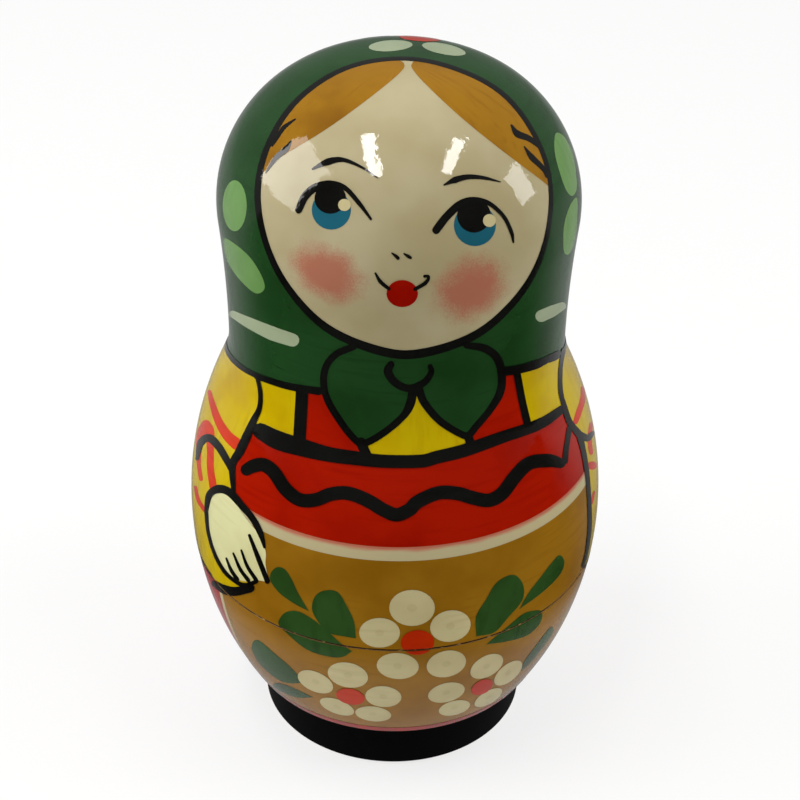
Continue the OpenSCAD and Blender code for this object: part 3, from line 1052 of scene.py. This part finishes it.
def painting(pitch):
    """All coats of paint of a doll, each a sheet on the largest doll, from the lowest up."""
    def photo(loops):
        return laid(loops, pitch, from_photo, spacing=PIXELS_PER_MM)

    def plan(loops):
        return laid(loops, pitch, from_above)

    def wrap(loops):
        return laid(loops, pitch, from_side, squeeze=SQUEEZE)

    backs = [wrapped_stroke(row, SCARF_LINE) for row in SLEEVE_BACKS]
    back_dashes = [wrapped_stroke(row, BACK_DASH_WIDTH) for row in BACK_DASHES]
    rows = [
        ("scarf", SCARF, 0, coat(scarf_edge, HEIGHT, *WHOLE_TURN, pitch)),
        ("skirt", SKIRT, 0, coat(EDGE_Z, scarf_edge, *WHOLE_TURN, pitch)),
        ("apron", APRON, 1, coat(EDGE_Z, APRON_TOP_HIGH, APRON_LEFT, APRON_RIGHT, pitch)),
        ("trim", TRIM, 2, coat(APRON_TOP_LOW, APRON_TOP_HIGH, APRON_LEFT, APRON_RIGHT, pitch)),
        ("trim", TRIM, 2, coat(EDGE_Z, APRON_TOP_LOW, APRON_LEFT, APRON_LEFT + APRON_HEM, pitch)),
        ("trim", TRIM, 2, coat(EDGE_Z, APRON_TOP_LOW, APRON_RIGHT - APRON_HEM, APRON_RIGHT, pitch)),
        ("rim", SKIRT, 3, coat(EDGE_Z, EDGE_Z + RIM_RISE, *WHOLE_TURN, pitch)),
        ("sleeves", YELLOW, 3, wrap([blob(LEFT_SLEEVE)])),
        ("sleeves", YELLOW, 3, wrap([blob(RIGHT_SLEEVE)])),
        ("blouse", YELLOW, 1, photo(YELLOW_CHEST)),
        ("vest", SKIRT, 1, photo(RED_CHEST)),
        ("bow", SCARF, 2, photo([BOW])),
        ("face", FACE, 1, photo([blob(FACE_RING)])),
        ("hair", HAIR, 2, photo([LEFT_HAIR, RIGHT_HAIR])),
        ("sprigs", SPRIG, 1, photo(SCARF_LEAVES)),
        ("sprigs", SPRIG, 1, wrap([back_leaf(*row) for row in BACK_LEAVES])),
        ("dashes", DASH, 1, photo(SCARF_DASHES)),
        ("dashes", DASH, 1, wrap(back_dashes)),
        ("strokes", SCARLET, 4, photo(SLEEVE_STROKES)),
        ("hands", SKIN, 4, photo([HAND])),
        ("leaves", LEAF, 3, photo(APRON_LEAVES)),
        ("petals", CREAM, 4, photo(petal_ovals(PETALS))),
        ("petals", DAB, 5, photo(dimples(PETALS))),
        ("hearts", RED, 5, photo(FLOWER_HEARTS)),
        ("petals", DASH, 1, plan(petal_ovals(CROWN_PETALS))),
        ("hearts", RED, 2, plan([CROWN_HEART])),
        ("lines", BLACK, 3, photo([ring(FACE_RING, FACE_RING_WIDTHS)] + HAIR_STREAKS)),
        ("lines", BLACK, 4, wrap([scarf_line()] + backs)),
        ("lines", BLACK, 5, photo(SCARF_FRONT + BOW_LINES + CHEST_BARS)),
        ("lines", BLACK, 5, photo([SARAFAN_BAND, SARAFAN_WAVE, WAVE_END])),
        ("lines", BLACK, 6, photo(LEFT_SLEEVE_LINES + RIGHT_SLEEVE_LINES + HAND_LINES + [CUFF_LINE])),
        ("eyes", BLUE, 2, photo(IRISES)),
        ("eyes", BLACK, 3, photo(PUPILS)),
        ("eyes", BLACK, 4, photo(BROWS + LASHES + NOSTRILS + SMILE)),
        ("eyes", CREAM, 5, photo(GLINTS)),
        ("lips", LIP, 3, photo(LIPS)),
    ]
    return [Coat(*row) for row in rows]


def foot_coats(size, stand):
    """The black foot, and the red line under the lower edge of the body."""
    flat_r = EDGE_R - EDGE_BREAK
    edge = [(flat_r, FOOT_H), (float(outline_radius(EDGE_Z)), EDGE_Z)]
    foot = [(FOOT_R, FOOT_BREAK), (FOOT_R, FOOT_H - BASE_LIFT)]
    under = [(FOOT_R + BASE_LIFT, FOOT_H), (flat_r, FOOT_H)]
    rings = ((edge, SKIRT), (foot, FOOT), (under, FOOT))
    return [(turned(line, size, stand), material) for line, material in rings]


# Grid of the paint on the largest doll and on the smaller ones, in millimetres of the largest
FINE_PITCH = 1.6
COARSE_PITCH = 2.4
NAMES = ["outer", "second", "third", "fourth", "fifth", "sixth"]


def paint_half(name, body, coats, size, stand, extra):
    """One object for each kind of paint on the largest doll, and one for all the paint on a smaller doll."""
    groups = {}
    for c in coats:
        if len(c.sheet.triangles):
            key = c.name if size == 1 else "paint"
            groups.setdefault(key, []).append((slab(c.sheet, size, stand, c.layer), c.material))
    if extra:
        groups.setdefault("foot" if size == 1 else "paint", []).extend(extra)
    for key, slabs in groups.items():
        piece(f"{name}_{key}", body, slabs)


def halves(coats, above):
    """The coats of an upper or a lower half, cut at the break of the seam."""
    level = SEAM_Z + SEAM_BREAK if above else SEAM_Z - SEAM_BREAK
    return [c._replace(sheet=cut(c.sheet, level, above)) for c in coats]


def mark_seam(cad, size, stand):
    """Painted shade of the seam's groove, dark with chips of wood, on the faces where its break shows on a
    half.
    """
    cad.data.materials.append(SEAM)
    seam_z = stand + SEAM_Z * size
    seam_r = float(outline_radius(SEAM_Z)) * size
    for face in cad.data.polygons:
        middle = cad.matrix_world @ face.center / MM
        near = abs(middle.z - seam_z) < SEAM_BREAK
        face.material_index = int(near and math.hypot(middle.x, middle.y) > seam_r - SEAM_BREAK)


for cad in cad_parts.values():
    cad.data.materials.clear()
    cad.data.materials.append(LINDEN)

fine = painting(FINE_PITCH)
coarse = painting(COARSE_PITCH)
fine_halves = halves(fine, True), halves(fine, False)
coarse_halves = halves(coarse, True), halves(coarse, False)
for rank, doll in enumerate(NAMES):
    top_name, bottom_name = f"{doll}_top", f"{doll}_bottom"
    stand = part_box(bottom_name)[0].z / MM
    size = 1 if rank == 0 else (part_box(top_name)[1].z / MM - stand) / HEIGHT
    top, bottom = fine_halves if rank == 0 else coarse_halves
    paint_half(top_name, top_name, top, size, stand, [])
    paint_half(bottom_name, bottom_name, bottom, size, stand, foot_coats(size, stand))
    mark_seam(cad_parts[top_name], size, stand)
    mark_seam(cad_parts[bottom_name], size, stand)
solid_low, solid_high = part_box("innermost_doll")
stand = solid_low.z / MM
size = (solid_high.z / MM - stand) / HEIGHT
paint_half("innermost", "innermost_doll", coarse, size, stand, foot_coats(size, stand))

# Studio in metres: the floor, what the lacquer mirrors of it, the light all round, and the lamps
WHITE = (1, 1, 1, 1)
FLOOR_HALF = 3.0
FLOOR_COLOUR = (240, 240, 238)
GLOW_RANGE = (0.085, 0.055)
FLOOR_GLOW = 0.35
OPEN_RANGE = (-0.02, 0.13)
FLOOR_OPEN = 0.33
FADE_RANGE = (0.3, 1.5)
WHITE_SHARE = 0.75
SKY_TURN = (-0.6, 0.3)
SKY_FRONT, SKY_BACK = 0.08, 0.74
MIRROR_FRONT, MIRROR_BACK = 0.02, 0.2
CLIP_START = 0.01
LAMP_REACH = 0.9
LAMP_AIM = Vector((0, 0, 0.1))
Tube = namedtuple("Tube", "name place wide high level")
Card = namedtuple("Card", "name azimuth elevation wide high level")
TUBES = [
    Tube("left_tube", (-0.243, -0.27, 1.05), 0.117, 0.61, 18),
    Tube("right_tube", (0.486, -0.216, 1.05), 0.135, 0.56, 15),
]
CARDS = [Card("left_card", -84, 31, 0.54, 0.58, 4.2), Card("right_card", 88, 21, 0.22, 0.34, 5.8)]


def blended(share, first, second):
    """A shader that goes from one shader to another as a share goes from 0 to 1."""
    return node(share.id_data, "ShaderNodeMixShader", {0: share, 1: first.outputs[0], 2: second.outputs[0]})


def mirrored_floor(place, fade):
    """How bright the lacquer mirrors the floor, near the doll and behind it."""
    near = ramped(length_of(place), *GLOW_RANGE)
    behind = ramped(parts_of(place)[1], *OPEN_RANGE)
    far_glow = times(behind, graded(fade, FLOOR_OPEN, MIRROR_BACK))
    return math_node("MAXIMUM", times(near, FLOOR_GLOW), far_glow)


def floor_paint(shader, colour):
    """A pale floor that keeps the doll's shadow, and is white to the camera far from the doll."""
    tree = shader.id_data
    connect(shader, {**PALE_FLOOR, "Base Color": colour})
    place = object_place(shader)
    fade = ramped(length_of(place), *FADE_RANGE)
    rays = node(tree, "ShaderNodeLightPath").outputs
    white = node(tree, "ShaderNodeEmission", {"Color": WHITE, "Strength": 1.0})
    glow = node(tree, "ShaderNodeEmission", {"Color": WHITE, "Strength": mirrored_floor(place, fade)})
    seen = blended(times(rays["Is Camera Ray"], graded(fade, WHITE_SHARE, 1)), shader, white)
    mirrored = blended(rays["Is Glossy Ray"], seen, glow)
    connect(tree.nodes["Material Output"], {"Surface": mirrored.outputs[0]})


def add_floor():
    """A square floor under the doll."""
    half = FLOOR_HALF
    corners = [(-half, -half, 0), (half, -half, 0), (half, half, 0), (-half, half, 0)]
    mesh = bpy.data.meshes.new("floor")
    mesh.from_pydata(corners, [], [(0, 1, 2, 3)])
    floor = bpy.data.objects.new("floor", mesh)
    bpy.context.scene.collection.objects.link(floor)
    mesh.materials.append(new_material("pale_floor", floor_paint, FLOOR_COLOUR))


def add_lamp(name, place, wide, high, level):
    """A flat lamp that faces straight down, as bright as its level, and that the camera doesn't see."""
    lamp = bpy.data.lights.new(name, "AREA")
    lamp.shape = "RECTANGLE"
    lamp.size = wide
    lamp.size_y = high
    lamp.energy = level * math.pi * wide * high
    obj = bpy.data.objects.new(name, lamp)
    obj.location = place
    obj.visible_camera = False
    bpy.context.scene.collection.objects.link(obj)
    return obj


def add_card(name, azimuth, elevation, wide, high, level):
    """A soft lamp towards an azimuth to the right of the front and an elevation, turned to the doll."""
    turn, rise = math.radians(azimuth), math.radians(elevation)
    way = Vector((math.sin(turn) * math.cos(rise), -math.cos(turn) * math.cos(rise), math.sin(rise)))
    card = add_lamp(name, LAMP_AIM + way * LAMP_REACH, wide, high, level)
    card.rotation_euler = (-way).to_track_quat("-Z", "Y").to_euler()


def add_world():
    """Light from all round, stronger from behind, dim in mirror images and white to the camera."""
    world = bpy.data.worlds.new("studio")
    world.use_nodes = True
    tree = world.node_tree
    way = node(tree, "ShaderNodeTexCoord").outputs["Generated"]
    behind = ramped(parts_of(way)[1], *SKY_TURN)
    rays = node(tree, "ShaderNodeLightPath").outputs
    sky = tree.nodes["Background"]
    mirrored = node(tree, "ShaderNodeBackground")
    for shader, front, back in ((sky, SKY_FRONT, SKY_BACK), (mirrored, MIRROR_FRONT, MIRROR_BACK)):
        connect(shader, {"Color": WHITE, "Strength": graded(behind, front, back)})
    seen = node(tree, "ShaderNodeBackground", {"Color": WHITE, "Strength": 1.0})
    for ray, shader in (("Is Glossy Ray", mirrored), ("Is Transmission Ray", seen), ("Is Camera Ray", seen)):
        sky = blended(rays[ray], sky, shader)
    connect(tree.nodes["World Output"], {"Surface": sky.outputs[0]})
    bpy.context.scene.world = world


def add_camera():
    """The camera that took the photograph, put into the scene."""
    data = bpy.data.cameras.new("photo_camera")
    data.sensor_width = SENSOR
    data.lens = SENSOR * FOCAL_PX / IMAGE_PX
    data.clip_start = CLIP_START
    camera = bpy.data.objects.new("photo_camera", data)
    turn = Matrix((right, up, -forward)).transposed().to_4x4()
    camera.matrix_world = Matrix.Translation(EYE * MM) @ turn
    bpy.context.scene.collection.objects.link(camera)
    bpy.context.scene.camera = camera


add_floor()
add_world()
add_camera()
for tube in TUBES:
    add_lamp(*tube)
for card in CARDS:
    add_card(*card)
bpy.context.scene.view_settings.view_transform = "Standard"
